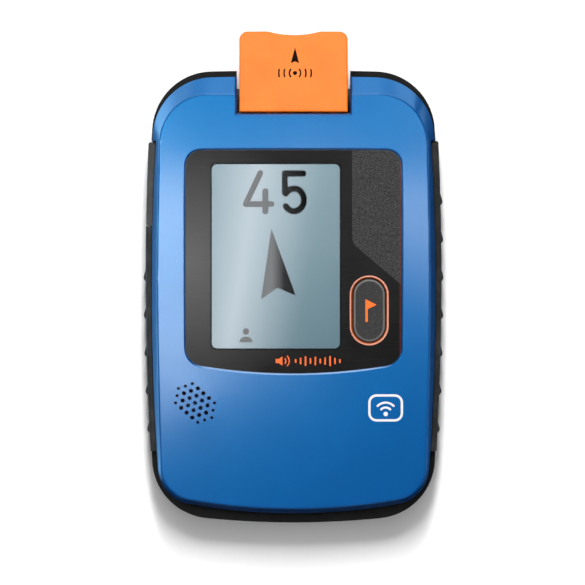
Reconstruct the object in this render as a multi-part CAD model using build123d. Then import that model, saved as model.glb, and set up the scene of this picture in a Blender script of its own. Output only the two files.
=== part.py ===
from build123d import *
from dataclasses import dataclass
import math
import os

# An avalanche transceiver, in millimetres. It lies on its back: X runs across it, +Y towards the
# end with the search flap, and +Z out of the display. The origin is the middle of the flat back.

# ---- driving dimensions -------------------------------------------------------------------------

TOP = 60.0                 # half the length of the housing
SPLIT = 16.0               # height at which the rear and front covers meet
CROWN = 26.6               # height of the front face at its middle
CROWN_RADIUS = 650.0       # radius of the front face's dome
BACK_ROUND = 5.0           # rounding of the back's edges
FLOOR = 1.8                # thickness of the back
WALL = 2.2                 # thickness of the side walls inside the grips
ROOF = 2.0                 # thickness of the front face
HIGH = 32.0                # above everything, for cuts that run out of the front

SKIRT_TOP = 19.5           # the front cover's sides stand straight up to here
RIDGE_Z = 25.0             # the bevel's upper edge

NOTCH_HALF = 15.1          # the notch that the search flap sits in
NOTCH_FLOOR = 48.4
NOTCH_SIDE_WALL = 3.0
NOTCH_FLOOR_WALL = 1.8

FLAP_HALF = 14.35
FLAP_NEAR, FLAP_TIP = 48.9, 70.2
FLAP_LOW, FLAP_HIGH = 21.0, 24.5
HINGE_Y, HINGE_Z = 52.0, 12.5
BARREL_RADIUS = 3.2
POCKET_END = 33.2          # where the folded flap's pocket in the back ends
POCKET_DEPTH = 4.4

GRIP_END = 41.3            # the grips' recess runs between these two stations
GRIP_START = -41.1
GRIP_LOW, GRIP_HIGH = 4.1, 19.3
RIB_FIRST, RIB_PITCH, RIB_COUNT = 25.6, 10.05, 7

DOOR_HINGE_X, DOOR_HINGE_Y = -37.9, 20.2
DOOR_END = 40.9
DOOR_BARREL_RADIUS = 1.15
DOOR_HEEL_RADIUS = 1.63    # the door's heel past its hinge turns inside this radius
DOOR_PIN_RADIUS = 0.5
KNUCKLES = [(6.2, 8.2), (13.0, 15.0)]   # heights of the housing's two ears on the door's pin
PORT_Y, PORT_Z = 31.0, 11.5

BUTTON_X, BUTTON_Y = 20.05, -3.7

SLIDER_Y = 22.0
SLIDER_STROKE = 5.0
SLIDER_MAGNET_X = -3.8

BOARD_LOW, BOARD_HIGH = 13.2, 14.4
BEZEL_LOW = 22.6           # undersides of the bezel, the lens and the button's ring
LENS_LOW = 23.4
LCD_END = -16.2            # lower end of the display panel
RING_LOW = 24.3
SPEAKER_X, SPEAKER_Y = -26.07, -28.2
SPEAKER_RADIUS = 7.2
LANYARD_Y, LANYARD_Z = -57.3, 3.2

ANTENNA_Z = 8.2            # height of the two ferrite rods' axes
LONG_ROD, LONG_WINDING = 87.0, 74.0
CROSS_ROD, CROSS_WINDING = 40.0, 29.0
LONG_PLACE = Pos(25.6, 0, ANTENNA_Z)
CROSS_PLACE = Pos(-2.0, -47.0, ANTENNA_Z) * Rot(0, 0, 90)
UPRIGHT_X, UPRIGHT_Y = -26.0, 19.5
FERRITE_RADIUS = 3.0

HOUSING_SCREWS = [(side * x, y) for side in (-1, 1) for x, y in ((30.3, 47.8), (33.0, -3.0), (30.3, -47.8))]
BOARD_SCREWS = [(-19.3, 42.0), (19.3, 42.0), (-19.3, -40.0), (19.3, -40.0)]

SLIP = 0.1                 # gap between pieces that are fitted together
RUNNING = 0.03             # radial gap between a pin and its bore


# ---- plain helpers ------------------------------------------------------------------------------

def block(x, y, z):
    """A box from its lowest and highest value along each axis."""
    centre = [(low + high) / 2 for low, high in (x, y, z)]
    size = [high - low for low, high in (x, y, z)]
    return Pos(*centre) * Box(*size)


def area(x, y):
    """A flat rectangle from its lowest and highest value along X and Y."""
    return Pos((x[0] + x[1]) / 2, (y[0] + y[1]) / 2) * Rectangle(x[1] - x[0], y[1] - y[0])


def prism(plan, low, high):
    """A plan raised from one height to another."""
    return Pos(0, 0, low) * extrude(plan, high - low)


def rod(start, end, radius):
    """A round bar between two points."""
    line = Vector(*end) - Vector(*start)
    return extrude(Plane(Vector(*start), z_dir=line) * Circle(radius), line.length)


def post(x, y, radius, low, high):
    """An upright round bar."""
    return rod((x, y, low), (x, y, high), radius)


def tube(x, y, outer, inner, low, high):
    """An upright round tube."""
    return post(x, y, outer, low, high) - post(x, y, inner, low, high)


def group(solids):
    """Several separate solids as one node."""
    return Compound(children=list(solids))


@dataclass
class Outline:
    """A rounded plan: four large discs crossing, with the corners between them rounded."""

    half: float            # half the width at the station called middle
    bow: float             # radius of the long sides
    middle: float
    top: float
    top_bow: float         # radius of the top end
    bottom: float
    bottom_bow: float      # radius of the bottom end
    top_corner: float
    bottom_corner: float

    def plan(self, grow=0.0):
        """The flat shape, moved outwards all round by grow."""
        sheet = area((-80, 80), (-90, 90))
        bow, top_bow, bottom_bow = self.bow + grow, self.top_bow + grow, self.bottom_bow + grow
        right = Pos(self.half - self.bow, self.middle) * Circle(bow) & sheet
        upper = Pos(0, self.top - self.top_bow) * Circle(top_bow) & sheet
        lower = Pos(0, self.bottom + self.bottom_bow) * Circle(bottom_bow) & sheet
        plan = right & mirror(right, Plane.YZ) & upper & lower
        corners = plan.vertices().filter_by(lambda v: abs(v.X) > self.half / 2)
        plan = fillet(corners.sort_by(Axis.Y)[-2:], self.top_corner + grow)
        corners = plan.vertices().filter_by(lambda v: abs(v.X) > self.half / 2)
        return fillet(corners.sort_by(Axis.Y)[:2], self.bottom_corner + grow)


def capsule(across, along):
    """A slot shape with its long way along Y, around the button's centre."""
    return Pos(BUTTON_X, BUTTON_Y) * SlotOverall(along, across, rotation=90)


def under_crown(drop):
    """Everything below the front face's dome, lowered by drop. The ball's poles lie off to the sides."""
    top = CROWN - drop
    ball = Pos(0, 0, top - CROWN_RADIUS) * Rot(90, 0, 0) * Sphere(CROWN_RADIUS)
    return ball & block((-60, 60), (-90, 90), (top - 40, top + 1))


# ---- plans shared by several pieces --------------------------------------------------------------

REAR = Outline(38.6, 900, 0, TOP, 900, -TOP, 230, 16, 16)
FRONT = Outline(38.35, 900, 0, 58.4, 900, -57.5, 156, 16, 10)
WAIST = Outline(37.6, 667, 2, 58.4, 900, -57.5, 156, 16, 10)
RIDGE = Outline(36.35, 700, 2, 52.8, 900, -56.1, 156, 13, 9)
GRIP = Outline(39.25, 810, 5, TOP, 900, -TOP, 230, 16, 16)
WINDOW = Outline(28.7, 3000, 9, 38.9, 3000, -20.4, 150, 4, 4.8)


def notch_zone(grow=0.0):
    """The plan of the flap's notch with the walls round it."""
    half = NOTCH_HALF + NOTCH_SIDE_WALL + grow
    return area((-half, half), (NOTCH_FLOOR - NOTCH_FLOOR_WALL - grow, 80))


def inside_plan(grow=0.0):
    """The plan of the housing's inside."""
    return WAIST.plan(grow - WALL) - notch_zone(-grow)


def inside_ring(outer, inner):
    """The strip between two offsets of the inside's plan."""
    return inside_plan(outer) - inside_plan(inner)


def lens_plan(grow=0.0):
    """The plan of the display's lens."""
    return Pos(-4.7, 10.65) * RectangleRounded(34.6 + 2 * grow, 49.5 + 2 * grow, 1.4 + grow)


def lcd_plan(grow=0.0):
    """The plan of the display panel."""
    return area((-24.2 - grow, 14.3 + grow), (LCD_END - grow, 36.9 + grow))


NOTCH = block((-NOTCH_HALF, NOTCH_HALF), (NOTCH_FLOOR, 80), (-HIGH, HIGH))


# ---- rear cover ----------------------------------------------------------------------------------

def grip_recess():
    """The stretch of the sides that the grips and the port door fill."""
    stretch = area((-60, 60), (GRIP_START, GRIP_END))
    return prism((REAR.plan(3) - WAIST.plan()) & stretch, GRIP_LOW - SLIP, SPLIT)


def door_hinge_well(low, high):
    """The round groove that the port door's barrel and heel turn in."""
    return post(DOOR_HINGE_X, DOOR_HINGE_Y, DOOR_HEEL_RADIUS + 0.15, low, high)


def door_knuckles():
    """The two ears on the housing that hold the port door's pin."""
    ears = []
    for low, high in KNUCKLES:
        ear = post(DOOR_HINGE_X, DOOR_HINGE_Y, 1.05, low, high)
        reach = DOOR_HINGE_X + DOOR_HEEL_RADIUS + 0.5
        foot = block((DOOR_HINGE_X, reach), (DOOR_HINGE_Y - 0.8, DOOR_HINGE_Y + 0.8), (low, high))
        ears.append(ear + foot)
    return ears


def slider_channel():
    """The recess in the back with side grooves that the power slider runs in."""
    mouth = block((-11, 11), (SLIDER_Y - 6, SLIDER_Y + 6), (-1, 2.6))
    grooves = block((-11, 11), (SLIDER_Y - 7, SLIDER_Y + 7), (1.3, 2.6))
    return mouth + grooves


def lanyard_recess():
    """The recess in the lower end that the lanyard bar crosses."""
    return block((-7, 7), (-70, -53.6), (-1, 9.6))


def rear_cover():
    """The black rear cover: a deep tray with everything that the inside is fixed to."""
    tray = prism(REAR.plan(), 0, SPLIT)
    tray = fillet(tray.edges().group_by(Axis.Z)[0], BACK_ROUND)
    kept = [
        block((-NOTCH_HALF - 1.8, NOTCH_HALF + 1.8), (POCKET_END - 1.8, 60), (0, POCKET_DEPTH + 1.8)),
        block((-13, 13), (SLIDER_Y - 8.5, SLIDER_Y + 8.5), (0, 4.2)),
        block((-9.5, 9.5), (-60, -51.6), (0, 11.6)),
        block((-37, -33.8), (DOOR_HINGE_Y - 3, DOOR_HINGE_Y + 3), (0, SPLIT)),
    ]
    kept += [post(x, y, 2.8, 0, SPLIT) for x, y in HOUSING_SCREWS]
    kept += [post(x, y, 2.0, 0, BOARD_LOW) for x, y in BOARD_SCREWS]
    hollow = prism(inside_plan(), FLOOR, SPLIT + 1)
    for piece in kept:
        hollow -= piece
    tray = tray - hollow - NOTCH - grip_recess()
    tray -= block((-NOTCH_HALF, NOTCH_HALF), (POCKET_END, NOTCH_FLOOR + 1), (-1, POCKET_DEPTH))
    tray -= slider_channel()
    tray -= lanyard_recess()
    tray -= rod((-8.5, LANYARD_Y, LANYARD_Z), (8.5, LANYARD_Y, LANYARD_Z), 1.5 + RUNNING)
    tray -= prism(inside_ring(1.0, 0.3), SPLIT - 1.0, SPLIT + 1)
    tray -= block((-40, -33), (PORT_Y - 4.65, PORT_Y + 4.65), (PORT_Z - 1.85, PORT_Z + 1.85))
    tray -= door_hinge_well(GRIP_LOW - SLIP, SPLIT + 1)
    for x, y in HOUSING_SCREWS:
        tray = tray - post(x, y, 1.3, -1, SPLIT + 1) - post(x, y, 2.3, -1, 3.0)
    for x, y in BOARD_SCREWS:
        tray -= post(x, y, 0.95, 8.0, BOARD_LOW + 1)
    tray -= hinge_slots()
    for ear in door_knuckles():
        tray += ear
    return tray - post(DOOR_HINGE_X, DOOR_HINGE_Y, DOOR_PIN_RADIUS + RUNNING, 4.4, 15.4)


def hinge_slots():
    """The open-topped slots that the search flap's pin drops into."""
    radius = 1.0 + RUNNING
    seat = rod((-16.5, HINGE_Y, HINGE_Z), (16.5, HINGE_Y, HINGE_Z), radius)
    return seat + block((-16.5, 16.5), (HINGE_Y - radius, HINGE_Y + radius), (HINGE_Z, SPLIT + 1))


def housing_gasket():
    """The seal in the groove on the rear cover's rim."""
    return prism(inside_ring(0.95, 0.35), SPLIT - 1.0, SPLIT)


def housing_screws():
    """The six screws that draw the covers together from the back."""
    screws = []
    for x, y in HOUSING_SCREWS:
        head = post(x, y, 2.2, 0.9, 3.0) - Pos(x, y, 0.9) * star_socket(1.2, 1.2)
        screws.append(head + post(x, y, 1.2, 3.0, 21.5))
    return group(screws)


def star_socket(radius, depth):
    """A six-lobed driver socket cut upwards from a head's outer face."""
    lobes = Circle(radius * 0.72)
    for turn in range(6):
        lobes += Rot(0, 0, 60 * turn) * Pos(radius * 0.72, 0) * Circle(radius * 0.28)
    return extrude(lobes, depth)


def lanyard_bar():
    """The steel bar that a safety leash is tied to."""
    return rod((-8.4, LANYARD_Y, LANYARD_Z), (8.4, LANYARD_Y, LANYARD_Z), 1.5)


# ---- front cover ---------------------------------------------------------------------------------

def speaker_holes():
    """The field of round holes over the loudspeaker, on a slightly turned three-way grid."""
    pitch = 1.95
    turn_a, turn_b = math.radians(19.3), math.radians(-41.2)
    holes = []
    for p in range(-2, 3):
        for q in range(-3, 4):
            if abs(p + q) > 3:
                continue
            x = SPEAKER_X + pitch * (p * math.cos(turn_a) + q * math.cos(turn_b))
            y = SPEAKER_Y + pitch * (p * math.sin(turn_a) + q * math.sin(turn_b))
            at_edge = abs(q) == 3 or abs(p + q) == 3
            holes.append(post(x, y, 0.38 if at_edge else 0.535, 20, HIGH))
    return holes


def front_block():
    """The front cover's outer shape: straight sides, a bevel and a gently domed face."""
    skirt = prism(FRONT.plan(), SPLIT, SKIRT_TOP)
    bevel = loft([Pos(0, 0, SKIRT_TOP) * FRONT.plan(), Pos(0, 0, RIDGE_Z) * RIDGE.plan()], ruled=True)
    face = prism(RIDGE.plan(), RIDGE_Z, HIGH)
    shape = (skirt + bevel + face) & under_crown(0)
    top_face = shape.faces().sort_by(Axis.Z)[-1]
    shape = fillet(top_face.edges(), 0.6)
    return shape & (prism(WAIST.plan(), 0, HIGH) + block((-60, 60), (GRIP_END, 80), (0, HIGH)))


def lip_edges(shape, inside):
    """The edges of an opening where it meets the front face."""
    return [e for e in shape.edges() if e.center().Z > 24 and inside(e.center())]


def front_cover():
    """The blue front cover, with the window's ledge, the speaker holes and the screw bosses."""
    shape = front_block()
    shape -= prism(WINDOW.plan(), BEZEL_LOW, HIGH)
    shape = chamfer(lip_edges(shape, lambda c: abs(c.X) < 29.2 and -21 < c.Y < 39.5), 0.4)
    shape -= NOTCH
    shape = chamfer(lip_edges(shape, lambda c: abs(c.X) < 15.2 and 48 < c.Y < 51.5), 0.45)
    kept = [prism(WINDOW.plan(1.8), 20.8, HIGH)]
    kept += [post(x, y, 2.6, SPLIT, HIGH) for x, y in HOUSING_SCREWS]
    kept.append(post(SPEAKER_X, SPEAKER_Y, SPEAKER_RADIUS, 22.4, HIGH))
    kept.append(block((-37, -34), (DOOR_HINGE_Y - 3, DOOR_HINGE_Y + 3), (SPLIT, HIGH)))
    hollow = prism(inside_plan(), SPLIT - 1, SKIRT_TOP - 1)
    hollow += prism(RIDGE.plan(-WALL) - notch_zone(), SPLIT - 1, HIGH)
    hollow = hollow & under_crown(ROOF)
    for piece in kept:
        hollow -= piece
    shape = shape - hollow - prism(WINDOW.plan(-1.6), SPLIT - 1, HIGH)
    shape -= post(SPEAKER_X, SPEAKER_Y, 6.6, 20, 23.4)
    for hole in speaker_holes():
        shape -= hole
    for x, y in HOUSING_SCREWS:
        shape -= post(x, y, 1.25, SPLIT - 1, 22.0)
    shape -= door_hinge_well(SPLIT - 1, GRIP_HIGH + SLIP)
    tongue = prism(inside_ring(-0.15, -1.3), SPLIT - 1.6, SPLIT)
    root = prism(inside_ring(0.0, -1.3), SPLIT, SPLIT + 1)
    tongue += root
    for x, y in HOUSING_SCREWS:
        tongue -= post(x, y, 2.9, SPLIT - 2, SPLIT)
        tongue -= post(x, y, 1.25, SPLIT - 2, SPLIT + 2)
    tongue -= block((-40, -33.5), (DOOR_HINGE_Y - 3.1, DOOR_HINGE_Y + 3.1), (SPLIT - 2, SPLIT))
    return shape + tongue


# ---- search flap ---------------------------------------------------------------------------------

def flap_plan():
    """The flap's face: rounded tip corners and a shallow finger scallop in the tip."""
    plan = area((-FLAP_HALF, FLAP_HALF), (FLAP_NEAR, FLAP_TIP))
    tips = [v for v in plan.vertices() if v.Y > FLAP_TIP - 1]
    plan = fillet(tips, 2.2)
    scallop_radius = 26.0
    plan -= Pos(0.2, FLAP_TIP - 0.95 + scallop_radius) * Circle(scallop_radius)
    brow = [v for v in plan.vertices() if v.Y > FLAP_TIP - 0.1 and abs(v.X) < 9]
    return fillet(brow, 4.0)


def search_flap():
    """The orange flap: face, web and hinge barrel in one moulding."""
    face = prism(flap_plan(), FLAP_LOW, FLAP_HIGH)
    face = fillet(face.edges().group_by(Axis.Z)[-1], 0.5)
    web = block((-14, 14), (50.3, 53.7), (HINGE_Z, FLAP_LOW))
    ribs = [
        block((x - 0.6, x + 0.6), (53.0, 55.4), (18.2, FLAP_LOW)) for x in (-10.5, -3.5, 3.5, 10.5)
    ]
    barrel = rod((-FLAP_HALF, HINGE_Y, HINGE_Z), (FLAP_HALF, HINGE_Y, HINGE_Z), BARREL_RADIUS)
    flap = face + web + barrel
    for rib in ribs:
        flap += rib
    flap -= rod((-20, HINGE_Y, HINGE_Z), (20, HINGE_Y, HINGE_Z), 1.0 + RUNNING)
    return flap - rod((8, 50, 17.8), (8, 52.4, 17.8), 2.02)


def flap_magnet():
    """The magnet in the flap's web that the board's sensors feel."""
    return rod((8, 50.4, 17.8), (8, 52.4, 17.8), 2.0)


def flap_pin():
    """The steel pin that the flap turns on."""
    return rod((-16.4, HINGE_Y, HINGE_Z), (16.4, HINGE_Y, HINGE_Z), 1.0)


def flap_washers():
    """The two spacers between the flap's barrel and the notch's sides."""
    washers = []
    for side in (-1, 1):
        disc = rod((side * 14.43, HINGE_Y, HINGE_Z), (side * 15.03, HINGE_Y, HINGE_Z), BARREL_RADIUS)
        washers.append(disc - rod((-20, HINGE_Y, HINGE_Z), (20, HINGE_Y, HINGE_Z), 1.0 + RUNNING))
    return group(washers)


# ---- grips and port door -------------------------------------------------------------------------

def side_band(side, start, end):
    """The plan of a side piece between two stations: side is 1 for the right and -1 for the left."""
    strip = GRIP.plan() - WAIST.plan(SLIP)
    return strip & area(sorted((side * 30, side * 50)), (start, end))


def grip_surface(y):
    """How far out the grips' smooth face is at a station."""
    return 39.25 - 810 + math.sqrt(810**2 - (y - 5) ** 2)


def rib(side, y):
    """One raised rib of a grip: a long rise from above and a steep drop below."""
    reach = grip_surface(y)
    corners = [(reach - 0.6, y + 2.0), (reach - 0.02, y + 1.7), (reach + 0.5, y - 0.2)]
    corners += [(reach + 0.5, y - 0.8), (reach - 0.02, y - 1.5), (reach - 0.6, y - 1.8)]
    plan = make_face(Polyline(*[(side * x, v) for x, v in corners], close=True))
    crest = [v for v in plan.vertices() if abs(v.X) > reach + 0.4]
    return prism(fillet(crest, 0.25), 6.4, 17.2)


def rounded_end(plan):
    """A side piece's plan with its outer corner at the flap's end rounded."""
    end = max(v.Y for v in plan.vertices())
    return fillet([v for v in plan.vertices() if v.Y > end - 0.5 and abs(v.X) > 38], 0.5)


def grip(side, plan, first_rib):
    """A soft side grip with its ribs."""
    body = prism(plan, GRIP_LOW, GRIP_HIGH)
    outer = [e for e in body.edges() if abs(e.center().X) > 38.4 and abs(e.tangent_at(0.5).Z) < 0.1]
    outer = [e for e in outer if e.length > 20]
    body = fillet(outer, 0.7)
    for k in range(first_rib, RIB_COUNT):
        body += rib(side, RIB_FIRST - RIB_PITCH * k)
    return body


def right_grip():
    """The right grip, the whole length of the recess."""
    return grip(1, rounded_end(side_band(1, GRIP_START + SLIP, GRIP_END - SLIP)), 0)


def left_grip():
    """The left grip, which ends at the port door and clears its heel."""
    body = grip(-1, side_band(-1, GRIP_START + SLIP, DOOR_HINGE_Y - 1.45), 2)
    return body - post(DOOR_HINGE_X, DOOR_HINGE_Y, DOOR_HEEL_RADIUS + 0.17, 0, HIGH)


def port_door():
    """The hinged door over the charging socket, with a heel that turns inwards past the hinge."""
    low, high = GRIP_LOW + 0.1, GRIP_HIGH - 0.1
    face = rounded_end(side_band(-1, DOOR_HINGE_Y, DOOR_END))
    heel = side_band(-1, DOOR_HINGE_Y - 2, DOOR_HINGE_Y)
    heel &= Pos(DOOR_HINGE_X, DOOR_HINGE_Y) * Circle(DOOR_HEEL_RADIUS)
    plate = prism(face + heel, low, high)
    outer = [e for e in plate.edges() if e.center().X < -38.4 and abs(e.tangent_at(0.5).Z) < 0.1]
    plate = fillet([e for e in outer if e.length > 10], 0.7)
    door = plate + post(DOOR_HINGE_X, DOOR_HINGE_Y, DOOR_BARREL_RADIUS, low, high)
    for bottom, top in KNUCKLES:
        door -= post(DOOR_HINGE_X, DOOR_HINGE_Y, 1.4, bottom - SLIP, top + SLIP)
        door -= block((-42, -36), (DOOR_HINGE_Y - 2, DOOR_HINGE_Y), (bottom - SLIP, top + SLIP))
    door -= block((-40.5, -38.2), (38.2, 40.0), (8.0, 15.4))
    return door - post(DOOR_HINGE_X, DOOR_HINGE_Y, DOOR_PIN_RADIUS + RUNNING, 0, 16.5)


def port_door_pin():
    """The pin of the port door's hinge."""
    return post(DOOR_HINGE_X, DOOR_HINGE_Y, DOOR_PIN_RADIUS, 4.5, 15.3)


def port_seal():
    """The soft plug on the door's inner face that closes the socket's opening."""
    plan = SlotOverall(8.4, 3.0)
    seat = Plane(origin=(-37.45, PORT_Y, PORT_Z), x_dir=(0, 1, 0), z_dir=(1, 0, 0))
    return extrude(seat * plan, 1.2) & prism(WAIST.plan(SLIP), 0, SPLIT)


# ---- display -------------------------------------------------------------------------------------

def display_bezel():
    """The glossy black panel that fills the window around the lens and the button."""
    panel = WINDOW.plan(-0.12)
    ledge = prism(panel - lens_plan(-0.4) - capsule(8.7, 16.9), BEZEL_LOW, LENS_LOW)
    middle = prism(panel - lens_plan() - capsule(8.7, 16.9), LENS_LOW, RING_LOW)
    face = prism(panel - lens_plan() - capsule(10.4, 18.6), RING_LOW, HIGH) & under_crown(0.5)
    return ledge + middle + face


def display_lens():
    """The clear lens over the display."""
    return prism(lens_plan(-0.06), LENS_LOW, HIGH) & under_crown(0.45)


def display_frame():
    """The moulded frame that carries the display above the board."""
    return prism(lcd_plan() - lcd_plan(-2.0), BOARD_HIGH, 17.5)


def lcd_flex():
    """The flat ribbon from the display's lower edge down to its connector on the board."""
    thick = 0.25
    bend, mouth = LCD_END - 1.1, LCD_END - 3.3
    front = [(LCD_END, 20.75), (bend, 20.75), (bend, 14.9 + thick), (mouth, 14.9 + thick)]
    back = [(mouth, 14.9), (bend + thick, 14.9), (bend + thick, 20.75 - thick)]
    profile = make_face(Polyline(*front, *back, (LCD_END, 20.75 - thick), close=True))
    sheet = Plane(origin=(-11, 0, 0), x_dir=(0, 1, 0), z_dir=(1, 0, 0)) * profile
    return extrude(sheet, 14)


def lcd_connector():
    """The ribbon's connector."""
    return block((-12, 4), (LCD_END - 6.3, LCD_END - 3.3), (BOARD_HIGH, 15.8))


# ---- marking button ------------------------------------------------------------------------------

def button_ring():
    """The orange ring round the button, bevelled down towards the cap."""
    bevel_low, bevel_high = 25.3, 26.5
    mouth = [Pos(0, 0, bevel_low) * capsule(8.78, 16.98), Pos(0, 0, bevel_high) * capsule(9.98, 18.18)]
    ring = prism(capsule(10.32, 18.52) - capsule(8.78, 16.98), RING_LOW, HIGH) & under_crown(0.2)
    return ring - loft(mouth, ruled=True)


def flag_button():
    """The marking button: cap, retaining flange and stem."""
    cap = prism(capsule(8.4, 16.6), 22.3, HIGH) & under_crown(-0.1)
    cap = fillet(cap.edges().group_by(Axis.Z)[-1], 0.6)
    flange = prism(capsule(9.9, 18.1), 21.4, 22.45)
    return cap + flange + post(BUTTON_X, BUTTON_Y, 1.4, 17.3, 21.4)


def button_membrane():
    """The silicone cup under the button that keeps water out and pushes it back."""
    wall = prism(capsule(8.4, 16.6) - capsule(7.0, 15.2), 19.2, 21.3)
    roof = prism(capsule(7.0, 15.2), 20.7, 21.3) - post(BUTTON_X, BUTTON_Y, 1.5, 20, 22)
    return wall + roof


def button_carrier():
    """The small table over the board that the membrane stands on."""
    low_x, high_x = 15.3, 26.4
    low_y, high_y = BUTTON_Y - 9.6, BUTTON_Y + 9.6
    table = block((low_x, high_x), (low_y, high_y), (18.4, 19.2)) - post(BUTTON_X, BUTTON_Y, 1.8, 18, 20)
    for x in (low_x, high_x - 1.6):
        for y in (low_y, high_y - 1.6):
            table += block((x, x + 1.6), (y, y + 1.6), (BOARD_HIGH, 18.4))
    return table


def tact_switch():
    """The switch body on the board under the button."""
    body = block((BUTTON_X - 3, BUTTON_X + 3), (BUTTON_Y - 3, BUTTON_Y + 3), (BOARD_HIGH, 16.5))
    return body - post(BUTTON_X, BUTTON_Y, 1.0, 15.2, 17)


def switch_plunger():
    """The switch's plunger, which moves with the button."""
    return post(BUTTON_X, BUTTON_Y, 0.9, 16.0, 17.3)


# ---- power slider --------------------------------------------------------------------------------

def power_slider():
    """The slider in the back that turns the device on, held by the channel's side grooves."""
    plate = block((-10.8, 3.2), (SLIDER_Y - 6.9, SLIDER_Y + 6.9), (1.4, 2.5))
    knob = block((-9.8, 2.2), (SLIDER_Y - 5.8, SLIDER_Y + 5.8), (0.3, 1.4))
    for step in range(5):
        x = -7.4 + 1.8 * step
        knob -= block((x, x + 0.8), (SLIDER_Y - 4.6, SLIDER_Y + 4.6), (0, 0.8))
    return plate + knob - post(SLIDER_MAGNET_X, SLIDER_Y, 2.05, 1.3, 3)


def slider_magnet():
    """The magnet in the power slider."""
    return post(SLIDER_MAGNET_X, SLIDER_Y, 2.0, 1.3, 2.4)


# ---- electronics ---------------------------------------------------------------------------------

def main_board():
    """The circuit board, cut back round the screw bosses."""
    plan = inside_plan(-2.0)
    for x, y in HOUSING_SCREWS:
        plan -= Pos(x, y) * Circle(3.3)
    for x, y in BOARD_SCREWS:
        plan -= Pos(x, y) * Circle(1.0)
    return prism(plan, BOARD_LOW, BOARD_HIGH)


def board_screws():
    """The four screws that hold the board."""
    screws = []
    for x, y in BOARD_SCREWS:
        head = post(x, y, 1.8, BOARD_HIGH, 15.6) - post(x, y, 0.7, 14.9, 16)
        screws.append(head + post(x, y, 0.9, 9.0, BOARD_HIGH))
    return group(screws)


def board_chips():
    """The processor, memory and radio parts on the board's display side, and the charger below it."""
    above = [(-8, 18, 9, 9, 1.2), (4, 18, 6, 5, 1.0), (-10, 2, 5, 5, 0.9), (2, 2, 7, 7, 1.0)]
    above += [(28, 28, 6, 6, 1.1), (28, 16, 4, 3, 0.8), (0, -33, 8, 6, 1.2), (14, -33, 5, 5, 1.0)]
    below = [(0, 3, 6, 6, 1.0), (8, -8, 4, 4, 0.9), (-9, -10, 5, 4, 0.9)]
    chips = [block((x - w / 2, x + w / 2), (y - d / 2, y + d / 2), (BOARD_HIGH, BOARD_HIGH + h))
             for x, y, w, d, h in above]
    chips += [block((x - w / 2, x + w / 2), (y - d / 2, y + d / 2), (BOARD_LOW - h, BOARD_LOW))
              for x, y, w, d, h in below]
    return group(chips)


def hall_sensors():
    """The sensors under the board: one for the flap's magnet and one for the power slider's."""
    spots = [(8.0, 42.5), (SLIDER_MAGNET_X, SLIDER_Y), (SLIDER_MAGNET_X + SLIDER_STROKE, SLIDER_Y)]
    return group(block((x - 1.5, x + 1.5), (y - 1, y + 1), (BOARD_LOW - 1, BOARD_LOW)) for x, y in spots)


def usb_socket():
    """The charging socket under the board, its mouth behind the port door."""
    seat = Plane(origin=(-36.0, PORT_Y, PORT_Z), x_dir=(0, 1, 0), z_dir=(1, 0, 0))
    outer = extrude(seat * RectangleRounded(8.94, 3.26, 1.2), 7.3)
    mouth = extrude(seat * RectangleRounded(8.34, 2.66, 1.0), 6.2)
    tongue = block((-35.4, -29.8), (PORT_Y - 3.3, PORT_Y + 3.3), (PORT_Z - 0.35, PORT_Z + 0.35))
    return outer - mouth + tongue


def battery_cell():
    """The rechargeable flat cell."""
    cell = block((-17, 17), (-38, 11), (2.8, 11.3))
    return fillet(cell.edges().filter_by(Axis.Y), 2.5)


def battery_pad():
    """The foam pad under the cell."""
    return block((-14, 14), (-36, 9), (FLOOR, 2.8))


def battery_connector():
    """The cell's connector under the board."""
    return block((-6, 6), (13, 17), (8.4, BOARD_LOW))


def battery_leads():
    """The cell's two leads."""
    return group(rod((x, 11, 9.6), (x, 13, 9.6), 0.6) for x in (-2.5, 2.5))


def rod_antenna(length, coil_length):
    """A ferrite rod with its winding, along Y around the origin."""
    core = rod((0, -length / 2, 0), (0, length / 2, 0), FERRITE_RADIUS)
    coil = rod((0, -coil_length / 2, 0), (0, coil_length / 2, 0), 4.3)
    return core, coil - rod((0, -length, 0), (0, length, 0), FERRITE_RADIUS + 0.05)


def rod_saddles(length):
    """The two cradles under the ends of a ferrite rod, down to the floor of the rear cover."""
    cradles = []
    for side in (-1, 1):
        y = side * (length / 2 - 2.2)
        cradle = block((-4.1, 4.1), (y - 1.6, y + 1.6), (FLOOR - ANTENNA_Z, 0))
        cradles.append(cradle - rod((0, -length, 0), (0, length, 0), FERRITE_RADIUS + 0.05))
    return cradles


def z_antenna_core():
    """The short upright ferrite of the third antenna."""
    return post(UPRIGHT_X, UPRIGHT_Y, FERRITE_RADIUS, FLOOR, 10.8)


def z_antenna_coil():
    """The winding of the third antenna."""
    return tube(UPRIGHT_X, UPRIGHT_Y, 6.0, FERRITE_RADIUS + 0.05, 2.3, 10.3)


def speaker():
    """The loudspeaker: a flat can with a smaller magnet behind it."""
    can = post(SPEAKER_X, SPEAKER_Y, SPEAKER_RADIUS, 17.0, 22.0)
    cone = post(SPEAKER_X, SPEAKER_Y, 6.0, 21.3, 23)
    return can + post(SPEAKER_X, SPEAKER_Y, 4.5, 15.0, 17.0) - cone


def speaker_mesh():
    """The fine waterproof mesh over the loudspeaker."""
    return post(SPEAKER_X, SPEAKER_Y, SPEAKER_RADIUS, 22.0, 22.4)


def speaker_contacts():
    """The two spring contacts between the loudspeaker and the board."""
    return group(post(SPEAKER_X + side * 5.8, SPEAKER_Y, 0.5, BOARD_HIGH, 17.0) for side in (-1, 1))


# ---- every piece, by name ------------------------------------------------------------------------

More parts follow.
